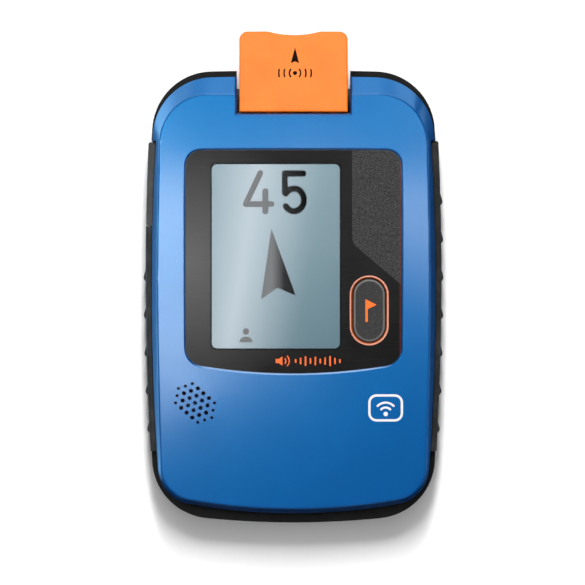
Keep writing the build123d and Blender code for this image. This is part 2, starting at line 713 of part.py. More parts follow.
def all_pieces():
    """Every piece of the transceiver, under its node name."""
    long_core, long_coil = rod_antenna(LONG_ROD, LONG_WINDING)
    cross_core, cross_coil = rod_antenna(CROSS_ROD, CROSS_WINDING)
    saddles = [LONG_PLACE * cradle for cradle in rod_saddles(LONG_ROD)]
    saddles += [CROSS_PLACE * cradle for cradle in rod_saddles(CROSS_ROD)]
    return {
        "rear_cover": rear_cover(),
        "front_cover": front_cover(),
        "housing_gasket": housing_gasket(),
        "housing_screws": housing_screws(),
        "lanyard_bar": lanyard_bar(),
        "grip_right": right_grip(),
        "grip_left": left_grip(),
        "port_door": port_door(),
        "port_door_pin": port_door_pin(),
        "port_seal": port_seal(),
        "search_flap": search_flap(),
        "flap_magnet": flap_magnet(),
        "flap_pin": flap_pin(),
        "flap_washers": flap_washers(),
        "display_bezel": display_bezel(),
        "display_lens": display_lens(),
        "lcd_panel": prism(lcd_plan(), 20.4, 22.5),
        "lcd_backlight": prism(lcd_plan(), 17.5, 20.4),
        "display_frame": display_frame(),
        "lcd_flex": lcd_flex(),
        "lcd_connector": lcd_connector(),
        "button_ring": button_ring(),
        "flag_button": flag_button(),
        "button_membrane": button_membrane(),
        "button_carrier": button_carrier(),
        "tact_switch": tact_switch(),
        "switch_plunger": switch_plunger(),
        "power_slider": power_slider(),
        "slider_magnet": slider_magnet(),
        "speaker": speaker(),
        "speaker_mesh": speaker_mesh(),
        "speaker_contacts": speaker_contacts(),
        "main_board": main_board(),
        "board_screws": board_screws(),
        "board_chips": board_chips(),
        "hall_sensors": hall_sensors(),
        "usb_socket": usb_socket(),
        "battery_cell": battery_cell(),
        "battery_pad": battery_pad(),
        "battery_connector": battery_connector(),
        "battery_leads": battery_leads(),
        "long_antenna_core": LONG_PLACE * long_core,
        "long_antenna_coil": LONG_PLACE * long_coil,
        "cross_antenna_core": CROSS_PLACE * cross_core,
        "cross_antenna_coil": CROSS_PLACE * cross_coil,
        "z_antenna_core": z_antenna_core(),
        "z_antenna_coil": z_antenna_coil(),
        "antenna_saddles": group(saddles),
    }


os.makedirs("parts", exist_ok=True)
for name, piece in all_pieces().items():
    export_step(piece, f"parts/{name}.step")
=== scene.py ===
import math

import bmesh
import bpy
from mathutils import Matrix, Vector


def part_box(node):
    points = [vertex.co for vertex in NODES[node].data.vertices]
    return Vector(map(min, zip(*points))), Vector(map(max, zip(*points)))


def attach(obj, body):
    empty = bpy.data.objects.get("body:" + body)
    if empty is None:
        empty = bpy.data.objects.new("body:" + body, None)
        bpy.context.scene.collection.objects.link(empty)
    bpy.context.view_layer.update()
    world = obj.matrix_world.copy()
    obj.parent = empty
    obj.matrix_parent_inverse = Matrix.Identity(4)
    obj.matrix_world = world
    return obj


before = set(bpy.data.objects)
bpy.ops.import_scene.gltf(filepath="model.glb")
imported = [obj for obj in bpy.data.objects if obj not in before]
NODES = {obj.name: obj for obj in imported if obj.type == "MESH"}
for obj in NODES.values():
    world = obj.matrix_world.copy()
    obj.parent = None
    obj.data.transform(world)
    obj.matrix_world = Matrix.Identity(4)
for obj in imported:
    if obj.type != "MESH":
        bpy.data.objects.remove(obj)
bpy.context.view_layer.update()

# The looks of an avalanche transceiver that lies on its back: materials for every CAD piece, and the
# display's figures and the printed signs as thin pieces of their own. Lengths are in metres.

MM = 0.001
PICTURE_DEPTH = 0.45 * MM  # how far under the lens's face the display's picture lies


# ---- node trees ----------------------------------------------------------------------------------

class Shader:
    """One material's node tree, built up by short calls."""

    def __init__(self, name):
        self.material = bpy.data.materials.new(name)
        self.material.use_nodes = True
        self.tree = self.material.node_tree
        self.tree.nodes.clear()
        self.place = self.node("TexCoord").outputs["Object"]

    def node(self, kind, inputs=(), **settings):
        """Adds a node. An input is a number, a colour or the socket that feeds it."""
        made = self.tree.nodes.new("ShaderNode" + kind)
        for key, value in settings.items():
            setattr(made, key, value)
        for key, value in dict(inputs).items():
            if isinstance(value, bpy.types.NodeSocket):
                self.tree.links.new(value, made.inputs[key])
            else:
                made.inputs[key].default_value = value
        return made

    def math(self, operation, *values):
        """One number from up to three."""
        return self.node("Math", enumerate(values), operation=operation).outputs[0]

    def axis(self, name):
        """The object's own X, Y or Z in metres."""
        return self.node("SeparateXYZ", {"Vector": self.place}).outputs[name]

    def noise(self, size, detail=2.0, rough=0.5, stretch=(1, 1, 1)):
        """Soft noise whose spots are about size metres across."""
        scale = tuple(s / size for s in stretch)
        moved = self.node("Mapping", {"Vector": self.place, "Scale": scale}).outputs[0]
        wanted = {"Vector": moved, "Scale": 1.0, "Detail": detail, "Roughness": rough}
        return self.node("TexNoise", wanted).outputs[0]

    def cells(self, size, output="Color", feature="F1"):
        """Cells about size metres across."""
        wanted = {"Vector": self.place, "Scale": 1.0 / size}
        return self.node("TexVoronoi", wanted, feature=feature).outputs[output]

    def spread(self, value, low, high, to_low=0.0, to_high=1.0):
        """A number between low and high, stretched to another range and held inside it."""
        wanted = {"Value": value, "From Min": low, "From Max": high, "To Min": to_low, "To Max": to_high}
        return self.node("MapRange", wanted, clamp=True).outputs[0]

    def blend(self, factor, first, second):
        """Two colours mixed, each of them a socket or red, green and blue."""
        wanted = {0: factor}
        for key, value in ((6, first), (7, second)):
            wanted[key] = value if isinstance(value, bpy.types.NodeSocket) else (*value, 1.0)
        return self.node("Mix", wanted, data_type="RGBA").outputs[2]

    def soft_edges(self, radius):
        """A normal that rounds the edges of the piece a little."""
        return self.node("Bevel", {"Radius": radius}, samples=4).outputs[0]

    def bump(self, height, distance, normal=None, strength=1.0):
        """Relief of the given depth in metres."""
        wanted = {"Height": height, "Distance": distance, "Strength": strength}
        if normal is not None:
            wanted["Normal"] = normal
        return self.node("Bump", wanted).outputs[0]

    def wear_and_shade_edges(self, radius):
        """1 on sharp edges and 0 on flats."""
        rounded = self.soft_edges(radius)
        true = self.node("NewGeometry").outputs["Normal"]
        dot = self.node("VectorMath", {0: rounded, 1: true}, operation="DOT_PRODUCT").outputs["Value"]
        return self.spread(dot, 0.97, 0.80)

    def finish(self, **inputs):
        """Ends in a Principled shader, with underscores in the names for spaces."""
        wanted = {key.replace("_", " "): value for key, value in inputs.items()}
        return self.end(self.node("BsdfPrincipled", wanted).outputs[0])

    def end(self, shader):
        """Connects the last shader and gives the material."""
        self.node("OutputMaterial", {"Surface": shader})
        return self.material


def half_width(node):
    """Half of a CAD piece's size across."""
    low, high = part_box(node)
    return (high.x - low.x) / 2


def past_outline(s, node, radius):
    """How far a point lies outside a piece's rounded rectangular outline, less than zero inside it."""
    low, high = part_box(node)
    squares = []
    for axis, lowest, highest in (("X", low.x, high.x), ("Y", low.y, high.y)):
        off = s.math("ABSOLUTE", s.math("SUBTRACT", s.axis(axis), (lowest + highest) / 2))
        past = s.math("MAXIMUM", s.math("SUBTRACT", off, (highest - lowest) / 2 - radius), 0.0)
        squares.append(s.math("MULTIPLY", past, past))
    return s.math("SUBTRACT", s.math("SQRT", s.math("ADD", *squares)), radius)


# ---- materials -----------------------------------------------------------------------------------

def blue_paint():
    """The front cover's metallic blue: fine flakes under a satin clear coat."""
    s = Shader("blue_metallic")
    flakes = s.cells(0.16 * MM)
    glint = s.node("SeparateColor", {"Color": flakes}).outputs[0]
    cloud = s.noise(14 * MM, 3.0)
    deep, pale = (0.0, 0.041, 0.19), (0.0, 0.048, 0.21)
    colour = s.blend(s.spread(cloud, 0.3, 0.7), deep, pale)
    colour = s.blend(s.spread(glint, 0.55, 1.0, 0.0, 0.15), colour, (0.01, 0.09, 0.30))
    worn = s.math("MULTIPLY", s.wear_and_shade_edges(0.25 * MM), s.spread(s.noise(3 * MM, 4.0), 0.5, 0.75))
    colour = s.blend(s.math("MULTIPLY", worn, 0.25), colour, (0.08, 0.2, 0.45))
    relief = s.bump(glint, 0.004 * MM, s.soft_edges(0.3 * MM), 0.3)
    rough = s.spread(s.noise(5 * MM, 3.0), 0.3, 0.7, 0.31, 0.36)
    return s.finish(Base_Color=colour, Roughness=rough, Normal=relief, IOR=1.95,
                    Specular_Tint=(0.0, 0.48, 1.0, 1.0), Coat_Weight=1.0, Coat_Roughness=0.15)


def grained_plastic(name, colour, pale, grain, depth, rough=0.5, gloss=0.5):
    """Moulded plastic with a spark-eroded grain, a little polished and paler along its edges."""
    s = Shader(name)
    edge = 0.3 * MM
    pits = s.noise(grain, 3.0, 0.6)
    cloud = s.noise(30 * grain, 3.0)
    tone = s.blend(s.spread(cloud, 0.3, 0.7), colour, pale)
    polished = tuple(min(1, 2.2 * c + 0.004) for c in pale)
    tone = s.blend(s.math("MULTIPLY", s.wear_and_shade_edges(edge), 0.5), tone, polished)
    relief = s.bump(pits, depth, s.soft_edges(edge))
    shine = s.spread(pits, 0.35, 0.65, rough - 0.06, rough + 0.06)
    return s.finish(Base_Color=tone, Roughness=shine, Normal=relief, Specular_IOR_Level=gloss)


def soft_rubber(name, colour, pale):
    """Soft-touch rubber, dusty in its grain."""
    s = Shader(name)
    pits = s.noise(0.22 * MM, 3.0, 0.6)
    dust = s.spread(s.noise(4 * MM, 4.0, 0.6), 0.45, 0.75)
    tone = s.blend(s.math("MULTIPLY", dust, 0.6), colour, pale)
    relief = s.bump(pits, 0.02 * MM, s.soft_edges(0.3 * MM))
    return s.finish(Base_Color=tone, Roughness=0.62, Normal=relief, Specular_IOR_Level=0.2,
                    Sheen_Weight=0.1, Sheen_Roughness=0.5)


def orange_plastic():
    """The search flap's satin orange, with painted shade along its sharp edges."""
    s = Shader("orange_satin")
    pits = s.noise(0.18 * MM, 2.0)
    cloud = s.noise(9 * MM, 3.0)
    tone = s.blend(s.spread(cloud, 0.3, 0.7), (0.80, 0.158, 0.006), (0.86, 0.19, 0.012))
    # painted shade: the orange darkens along the sharp edges, where they turn away from the light
    tone = s.blend(s.math("MULTIPLY", s.wear_and_shade_edges(0.3 * MM), 0.6), tone, (0.45, 0.085, 0.006))
    relief = s.bump(pits, 0.008 * MM, s.soft_edges(0.35 * MM))
    rough = s.spread(s.noise(2 * MM, 4.0), 0.3, 0.7, 0.40, 0.50)
    return s.finish(Base_Color=tone, Roughness=rough, Normal=relief, Subsurface_Weight=0.08,
                    Subsurface_Radius=(0.002, 0.0008, 0.0003), Subsurface_Scale=1.0,
                    Specular_IOR_Level=0.25)


def bezel_panel():
    """The black panel: smooth at its left, with a painted reflection that pales it there, grained at its
    right, with a dim orange edge there.
    """
    s = Shader("bezel_black")
    low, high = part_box("display_bezel")
    x, y = s.axis("X"), s.axis("Y")
    field_left = high.x - 13.1 * MM
    past_left = s.math("SUBTRACT", x, field_left)
    corner = (field_left + 1.6 * MM, low.y + 33.0 * MM)
    slope = math.radians(49.8)
    across = s.math("MULTIPLY", s.math("SUBTRACT", x, corner[0]), math.cos(slope))
    along = s.math("MULTIPLY", s.math("SUBTRACT", y, corner[1]), math.sin(slope))
    past_slant = s.math("ADD", across, along)
    inside = s.math("SMOOTH_MIN", past_left, past_slant, 2.0 * MM)
    field = s.spread(inside, 0.0, 0.12 * MM)
    grain = s.noise(0.42 * MM, 3.0, 0.7)
    speck = s.spread(grain, 0.35, 0.68)
    grey = s.blend(speck, (0.012, 0.012, 0.012), (0.055, 0.055, 0.055))
    smooth = s.blend(s.spread(s.noise(12 * MM, 3.0), 0.3, 0.7), (0.004, 0.004, 0.004), (0.008, 0.008, 0.008))
    # painted reflection: the smooth black pales to grey towards the panel's left edge
    left_edge = (low.x, (low.y + high.y) / 2, high.z)
    from_left = s.node("VectorMath", {0: s.place, 1: left_edge}, operation="DISTANCE").outputs["Value"]
    painted_left_reflection = s.spread(from_left, 0.0, 36 * MM, 0.8, 0.0)
    smooth = s.blend(painted_left_reflection, smooth, (0.10, 0.10, 0.10))
    tone = s.blend(field, smooth, grey)
    edge_line = s.spread(x, high.x - 0.52 * MM, high.x - 0.42 * MM)
    edge_line = s.math("MULTIPLY", edge_line, s.spread(x, high.x - 0.24 * MM, high.x - 0.14 * MM, 1.0, 0.0))
    tone = s.blend(s.math("MULTIPLY", edge_line, 0.5), tone, (0.13, 0.022, 0.012))
    relief = s.bump(s.math("MULTIPLY", grain, field), 0.03 * MM)
    scuffs = s.spread(s.noise(0.5 * MM, 6.0, 0.7, (0.05, 1, 1)), 0.45, 0.8, 0.0, 0.08)
    rough = s.math("ADD", s.spread(field, 0, 1, 0.24, 0.42), scuffs)
    return s.finish(Base_Color=tone, Roughness=rough, Normal=relief, Specular_IOR_Level=0.065)


def clear_lens():
    """The display's lens: it lets all light through and mirrors a little."""
    s = Shader("clear_lens")
    smear = s.spread(s.noise(3 * MM, 5.0, 0.6), 0.35, 0.75, 0.03, 0.10)
    mirror = s.node("BsdfGlossy", {"Color": (1, 1, 1, 1), "Roughness": smear}).outputs[0]
    through = s.node("BsdfTransparent", {"Color": (0.985, 0.995, 1.0, 1)}).outputs[0]
    share = s.node("Fresnel", {"IOR": 1.08}).outputs[0]
    return s.end(s.node("MixShader", {0: share, 1: through, 2: mirror}).outputs[0])


def lcd_glass():
    """The display's blue-grey ground: lighter towards the top and darker towards the lower right corner, with
    a painted reflection across its left part, faintly ruled and with a painted shadow along its border.
    """
    s = Shader("lcd_ground")
    low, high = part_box("display_lens")
    across = s.spread(s.axis("X"), low.x, high.x)
    up = s.spread(s.axis("Y"), low.y, high.y)
    # painted reflection: a bright slanted band across the left part of the ground
    band_middle = s.math("MULTIPLY_ADD", up, 0.24, 0.13)
    off = s.math("ABSOLUTE", s.math("SUBTRACT", across, band_middle))
    painted_reflection_band = s.spread(off, 0.0, 0.52, 0.94, 0.0)
    painted_reflection_band = s.math("POWER", painted_reflection_band, 1.25)
    ground = s.blend(s.spread(up, 0.0, 0.5), (0.15, 0.223, 0.255), (0.187, 0.264, 0.296))
    to_corner = s.spread(s.math("SUBTRACT", across, up), -0.2, 1.0, 0.0, 0.7)
    ground = s.blend(to_corner, ground, (0.077, 0.132, 0.16))
    ground_with_reflection = s.blend(painted_reflection_band, ground, (0.40, 0.45, 0.487))
    rules = s.node("TexWave", {"Vector": s.place, "Scale": 1100.0}, bands_direction="Y").outputs["Fac"]
    tone = s.blend(s.math("MULTIPLY", rules, 0.05), ground_with_reflection, (0.1, 0.15, 0.18))
    corner = 1.7 * MM
    # painted shadow: a dark line along the ground's border
    painted_border_shadow = s.spread(past_outline(s, "display_lens", corner), -0.36 * MM, -0.24 * MM)
    tone = s.blend(painted_border_shadow, tone, (0.008, 0.010, 0.012))
    return s.finish(Base_Color=tone, Roughness=0.32, Specular_IOR_Level=0.03)


def lcd_ink():
    """The display's black figures, with a painted reflection that greys them at the left."""
    s = Shader("lcd_figures")
    low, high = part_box("display_lens")
    across = s.spread(s.axis("X"), low.x, high.x)
    ramp = s.node("ValToRGB", {"Fac": across})
    # painted reflection: the stops lift the figures to grey at the left and let them fall to black at the
    # right
    stops = ((0.27, 0.15), (0.47, 0.15), (0.565, 0.02), (0.72, 0.002), (0.9, 0.001))
    while len(ramp.color_ramp.elements) < len(stops):
        ramp.color_ramp.elements.new(0.5)
    for element, (place, grey) in zip(ramp.color_ramp.elements, stops):
        element.position = place
        element.color = (grey, grey * 1.01, grey * 1.03, 1)
    tone = s.blend(s.spread(s.noise(0.3 * MM), 0.3, 0.7, 0.0, 0.03), ramp.outputs[0], (0.15, 0.16, 0.17))
    return s.finish(Base_Color=tone, Roughness=0.35, Specular_IOR_Level=0.0)


def ink(name, colour, worn):
    """Printed ink, a little uneven."""
    s = Shader(name)
    patchy = s.spread(s.noise(0.5 * MM, 4.0, 0.6), 0.42, 0.8, 0.0, 0.45)
    relief = s.bump(s.noise(0.12 * MM), 0.005 * MM)
    return s.finish(Base_Color=s.blend(patchy, colour, worn), Roughness=0.45, Normal=relief,
                    Specular_IOR_Level=0.02)


def ring_plastic():
    """The button ring's orange, with painted shade on its inner bevel and a painted pinkish highlight on its
    outer edge.
    """
    s = Shader("ring_orange")
    past = past_outline(s, "button_ring", half_width("button_ring"))
    # painted highlight: pale pinkish along the outermost half millimetre of the ring
    outer = s.spread(past, -0.55 * MM, -0.25 * MM)
    cloud = s.spread(s.noise(2.5 * MM, 3.0), 0.3, 0.7)
    # painted shade: the rest of the ring, its inner bevel, is a dark orange
    inner = s.blend(cloud, (0.30, 0.055, 0.012), (0.38, 0.08, 0.02))
    tone = s.blend(outer, inner, (0.62, 0.235, 0.15))
    relief = s.bump(s.noise(0.2 * MM, 3.0, 0.6), 0.004 * MM, s.soft_edges(0.25 * MM))
    return s.finish(Base_Color=tone, Roughness=0.38, Normal=relief, Specular_IOR_Level=0.5)


def button_cap():
    """The button's dark grained cap, with a painted highlight: a pale line where its edge turns over."""
    s = Shader("button_cap")
    grain = s.noise(0.3 * MM, 3.0, 0.7)
    tone = s.blend(s.spread(grain, 0.35, 0.7), (0.012, 0.012, 0.012), (0.045, 0.045, 0.045))
    # painted highlight: a pale grey band about one millimetre inside the cap's outline, where its edge turns
    # over
    past = past_outline(s, "flag_button", half_width("flag_button"))
    fade_in = s.spread(past, -1.45 * MM, -1.05 * MM)
    fade_out = s.spread(past, -0.9 * MM, -0.75 * MM, 1.0, 0.0)
    rim = s.math("MULTIPLY", fade_in, fade_out)
    tone = s.blend(s.math("MULTIPLY", rim, 0.55), tone, (0.26, 0.26, 0.25))
    relief = s.bump(grain, 0.02 * MM, s.soft_edges(0.4 * MM))
    return s.finish(Base_Color=tone, Roughness=0.5, Normal=relief, Specular_IOR_Level=0.12)


def metal(name, colour, rough, brushed=(1, 1, 1)):
    """Bare or plated metal with fine drawn lines."""
    s = Shader(name)
    lines = s.noise(0.4 * MM, 4.0, 0.6, brushed)
    tone = s.blend(s.spread(lines, 0.3, 0.7), tuple(0.8 * c for c in colour), colour)
    relief = s.bump(lines, 0.004 * MM, s.soft_edges(0.12 * MM))
    shine = s.spread(lines, 0.3, 0.7, rough - 0.05, rough + 0.08)
    return s.finish(Base_Color=tone, Metallic=1.0, Roughness=shine, Normal=relief)


def wound_copper(name, direction):
    """Enamelled wire laid turn by turn along one axis."""
    s = Shader(name)
    turns = s.node("TexWave", {"Vector": s.place, "Scale": 900.0}, bands_direction=direction).outputs["Fac"]
    tone = s.blend(turns, (0.25, 0.07, 0.02), (0.80, 0.33, 0.13))
    return s.finish(Base_Color=tone, Metallic=0.9, Roughness=0.3, Normal=s.bump(turns, 0.08 * MM))


def circuit_board():
    """Green solder mask with copper runs showing under it."""
    s = Shader("board_green")
    runs = s.cells(2.2 * MM, "Distance", "DISTANCE_TO_EDGE")
    on_run = s.spread(runs, 0.05, 0.09, 1.0, 0.0)
    tone = s.blend(on_run, (0.006, 0.10, 0.035), (0.02, 0.24, 0.09))
    return s.finish(Base_Color=tone, Roughness=0.3, Normal=s.bump(on_run, 0.03 * MM))


def woven_mesh():
    """The loudspeaker's fine dark weave, bluish over its middle where the cone's cap shows through."""
    s = Shader("speaker_weave")
    warp = s.node("TexWave", {"Vector": s.place, "Scale": 1500.0}, bands_direction="X").outputs["Fac"]
    weft = s.node("TexWave", {"Vector": s.place, "Scale": 1500.0}, bands_direction="Y").outputs["Fac"]
    thread = s.math("MAXIMUM", warp, weft)
    low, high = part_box("speaker_mesh")
    middle = (low + high) / 2
    apart = s.node("VectorMath", {0: s.place, 1: middle}, operation="DISTANCE").outputs["Value"]
    cap = s.spread(apart, 1.6 * MM, 3.4 * MM, 1.0, 0.0)
    tone = s.blend(cap, (0.002, 0.006, 0.045), (0.01, 0.11, 0.34))
    tone = s.blend(s.math("MULTIPLY", thread, 0.4), tone, (0.02, 0.03, 0.06))
    return s.finish(Base_Color=tone, Roughness=0.7, Normal=s.bump(thread, 0.03 * MM))


# ---- thin printed and displayed pieces -----------------------------------------------------------

def arc(centre, radius, start, end, steps=18, squeeze=1.0):
    """Points of an arc, angles in degrees; squeeze scales it across X."""
    angles = [math.radians(start + (end - start) * i / steps) for i in range(steps + 1)]
    return [(centre[0] + squeeze * radius * math.cos(a), centre[1] + radius * math.sin(a)) for a in angles]


def stroke(points, width):
    """The outline of a pen stroke along the points, with round ends and round outer corners."""
    half = width / 2
    line = [Vector(p) for p in points]
    headings = [math.atan2(b.y - a.y, b.x - a.x) for a, b in zip(line, line[1:])]

    def fan(point, start, end):
        steps = max(1, round(abs(end - start) / math.radians(15)))
        turned = [start + (end - start) * i / steps for i in range(steps + 1)]
        return [(point.x + half * math.cos(t), point.y + half * math.sin(t)) for t in turned]

    def side(sign):
        outline = []
        for i in range(1, len(line) - 1):
            turn = (headings[i] - headings[i - 1] + math.pi) % (2 * math.pi) - math.pi
            normal = headings[i - 1] + sign * math.pi / 2
            if turn * sign < 0:
                outline += fan(line[i], normal, normal + turn)
            else:
                reach = half / math.cos(turn / 2)
                outline.append((line[i].x + reach * math.cos(normal + turn / 2),
                                line[i].y + reach * math.sin(normal + turn / 2)))
        return outline

    far_cap = fan(line[-1], headings[-1] - math.pi / 2, headings[-1] + math.pi / 2)
    near_cap = fan(line[0], headings[0] + math.pi / 2, headings[0] + 3 * math.pi / 2)
    return side(-1) + far_cap + side(1)[::-1] + near_cap


def ground_height(node, x, y):
    """How high a CAD piece's upper face is above a point, in metres."""
    hit, place, _, _ = NODES[node].ray_cast(Vector((x, y, 1.0)), Vector((0, 0, -1)))
    assert hit, f"nothing of {node} under {x:.4f}, {y:.4f}"
    return place.z


def add_piece(name, mesh, material, body):
    """A new piece of the visual model, which moves with a body and takes a slot of the colour kit."""
    mesh.materials.append(material)
    piece = bpy.data.objects.new(name, mesh)
    bpy.context.scene.collection.objects.link(piece)
    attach(piece, body)


def printed(name, outlines, node, body, material, sink=0.0):
    """Thin closed plates on a piece's upper face or sunk under it, one for each outline in millimetres."""
    root, thickness, layer_step = 0.01 * MM, 0.04 * MM, 0.004 * MM
    vertices, faces = [], []
    for layer, outline in enumerate(outlines):
        lift = thickness + layer_step * layer
        first, count = len(vertices), len(outline)
        for x, y in outline:
            ground = ground_height(node, x * MM, y * MM) - sink
            vertices += [(x * MM, y * MM, ground - root), (x * MM, y * MM, ground + lift)]
        faces.append([first + 2 * i + 1 for i in range(count)])
        faces.append([first + 2 * i for i in reversed(range(count))])
        for i in range(count):
            j = (i + 1) % count
            faces.append([first + 2 * i, first + 2 * j, first + 2 * j + 1, first + 2 * i + 1])
    mesh = bpy.data.meshes.new(name)
    mesh.from_pydata(vertices, [], faces)
    mesh.validate()
    add_piece(name, mesh, material, body)


def shifted(outline, centre):
    """An outline moved to its place."""
    return [(x + centre[0], y + centre[1]) for x, y in outline]


def node_centre(node):
    """The middle of a CAD piece in plan, in millimetres."""
    low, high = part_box(node)
    return (low.x + high.x) / 2 / MM, (low.y + high.y) / 2 / MM


def display_figures():
    """The distance figure, the direction arrow and the person sign, in millimetres from the lens's middle."""
    pen = 1.5
    four = [stroke([(-4.1, 22.05), (-7.95, 13.85), (-1.15, 13.85)], pen)]
    four.append(stroke([(-2.75, 17.2), (-2.75, 11.95)], pen + 0.1))
    five = [stroke([(7.3, 21.95), (2.4, 21.95), (2.4, 16.9)], pen + 0.1)]
    five.append(stroke(arc((4.85, 14.95), 3.0, 146, -146, 30, 0.87), pen + 0.1))
    arrow = [(-1.17, 7.32), (5.26, -10.36), (0.45, -8.31), (-3.9, -11.37)]
    head = arc((-7.88, -19.9), 0.82, 0, 345, 23)
    shoulders = arc((-7.88, -22.7), 1.4, 0, 180, 18, 1.23)
    middle = node_centre("display_lens")
    shapes = {"figure_four": four, "figure_five": five, "direction_arrow": [arrow],
              "person_sign": [head, shoulders]}
    material = lcd_ink()
    for name, outlines in shapes.items():
        placed = [shifted(outline, middle) for outline in outlines]
        printed(name, placed, "display_lens", "housing", material, sink=PICTURE_DEPTH)


def rounded_corners(low, high, radius):
    """The four corner arcs of a rounded rectangle, in turn."""
    left, right, down, up = low[0] + radius, high[0] - radius, low[1] + radius, high[1] - radius
    centres = ((right, up), (left, up), (left, down), (right, down))
    return [arc(centre, radius, 90 * i, 90 * i + 90, 8) for i, centre in enumerate(centres)]


def display_picture():
    """The display's picture layer, bonded under the lens and following its gentle dome."""
    inset, corner, thickness = 0.05 * MM, 1.35 * MM, 0.3 * MM
    pull = 0.001           # heights are read this share nearer the middle, clear of the lens's rim
    low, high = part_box("display_lens")
    middle = (low + high) / 2
    margin = Vector((inset, inset, 0))
    rim = [point for bend in rounded_corners(low + margin, high - margin, corner) for point in bend]
    picture = bmesh.new()
    loops = []
    for share in (1.0, 0.85, 0.65, 0.4, 0.15):
        points = [(middle.x + share * (x - middle.x), middle.y + share * (y - middle.y)) for x, y in rim]
        probes = [Vector(point) * (1 - pull) + middle.xy * pull for point in points]
        heights = [ground_height("display_lens", *probe) for probe in probes]
        lowered = [height - PICTURE_DEPTH - 0.05 * MM for height in heights]
        loops.append([picture.verts.new((x, y, z)) for (x, y), z in zip(points, lowered)])
    foot = [picture.verts.new(vertex.co - Vector((0, 0, thickness))) for vertex in loops[0]]
    count = len(rim)
    for outer, inner in zip([foot] + loops, loops):
        for i in range(count):
            j = (i + 1) % count
            picture.faces.new((outer[i], outer[j], inner[j], inner[i]))
    picture.faces.new(loops[-1])
    picture.faces.new(foot[::-1])
    mesh = bpy.data.meshes.new("display_picture")
    picture.to_mesh(mesh)
    picture.free()
    add_piece("display_picture", mesh, lcd_glass(), "housing")


def flap_signs():
    """The arrow on the search flap and a signal sign under it."""
    across = 0.4
    arrow = [(0, 2.1), (1.1, -2.1), (0, -1.6), (-1.1, -2.1)]
    dot = arc((0, 0), 0.55, 0, 345, 23)
    half_height, pen = 0.95, 0.42
    waves = []
    for radius in (1.5, 2.9, 4.3):
        swing = math.degrees(math.asin(half_height / radius))
        for heading in (0, 180):
            waves.append(stroke(arc((0, 0), radius, heading - swing, heading + swing, 8), pen))
    dark = ink("flap_print", (0.004, 0.003, 0.002), (0.03, 0.01, 0.004))
    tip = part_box("search_flap")[1].y / MM
    arrow = shifted(arrow, (across, tip - 6.3))
    printed("flap_arrow", [arrow], "search_flap", "flap", dark)
    signs = [shifted(outline, (across, tip - 11.0)) for outline in [dot] + waves]
    printed("flap_signal_sign", signs, "search_flap", "flap", dark)


def voice_sign():
    """An orange loudspeaker sign with a row of level bars under the display."""
    horn = [(-8.7, -0.55), (-7.9, -0.55), (-6.9, -1.25), (-6.9, 1.25), (-7.9, 0.55), (-8.7, 0.55)]
    outlines = [horn]
    for radius in (0.9, 1.8):
        outlines.append(stroke(arc((-6.9, 0), radius, -45, 45, 8), 0.3))
    first_bar, pitch = -3.4, 1.3
    levels = (0.35, 0.7, 1.1, 0.6, 0.95, 0.45, 0.8, 1.15, 0.65, 0.3)
    for i, level in enumerate(levels):
        x = first_bar + pitch * i
        outlines.append(stroke([(x, -level), (x, level)], 0.42))
    low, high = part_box("display_bezel")
    place = (high.x / MM - 24.6, low.y / MM + 3.2)
    orange = ink("sign_orange", (0.85, 0.16, 0.045), (0.62, 0.10, 0.02))
    outlines = [shifted(outline, place) for outline in outlines]
    printed("voice_sign", outlines, "display_bezel", "housing", orange)


def cover_sign():
    """A white beacon sign in a rounded frame on the front cover."""
    half_wide, half_high, radius, pen = 4.3, 3.3, 1.9, 0.62
    corners = rounded_corners((-half_wide, -half_high), (half_wide, half_high), radius)
    nexts = corners[1:] + corners[:1]
    outlines = [stroke(corner + following[:1], pen) for corner, following in zip(corners, nexts)]
    beacon = (0, -1.6)
    outlines.append(arc(beacon, 0.6, 0, 345, 23))
    for reach in (1.7, 3.0):
        outlines.append(stroke(arc(beacon, reach, 45, 135, 10), 0.55))
    low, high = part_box("front_cover")
    place = (high.x / MM - 13.2, low.y / MM + 28.0)
    white = ink("sign_white", (0.70, 0.72, 0.74), (0.50, 0.56, 0.62))
    outlines = [shifted(outline, place) for outline in outlines]
    printed("beacon_sign", outlines, "front_cover", "housing", white)


def button_sign():
    """The orange flag on the marking button."""
    pole = [(-1.0, -3.0), (-0.4, -3.0), (-0.4, 0.4), (1.95, 1.5), (-1.0, 3.0)]
    middle = node_centre("flag_button")
    orange = ink("flag_orange", (0.92, 0.17, 0.035), (0.65, 0.10, 0.02))
    printed("flag_sign", [shifted(pole, middle)], "flag_button", "button", orange)


# ---- every CAD piece gets its material -----------------------------------------------------------

def dress(material, *nodes):
    """Gives CAD pieces a material."""
    for node in nodes:
        slots = NODES[node].data.materials
        slots.clear()
        slots.append(material)


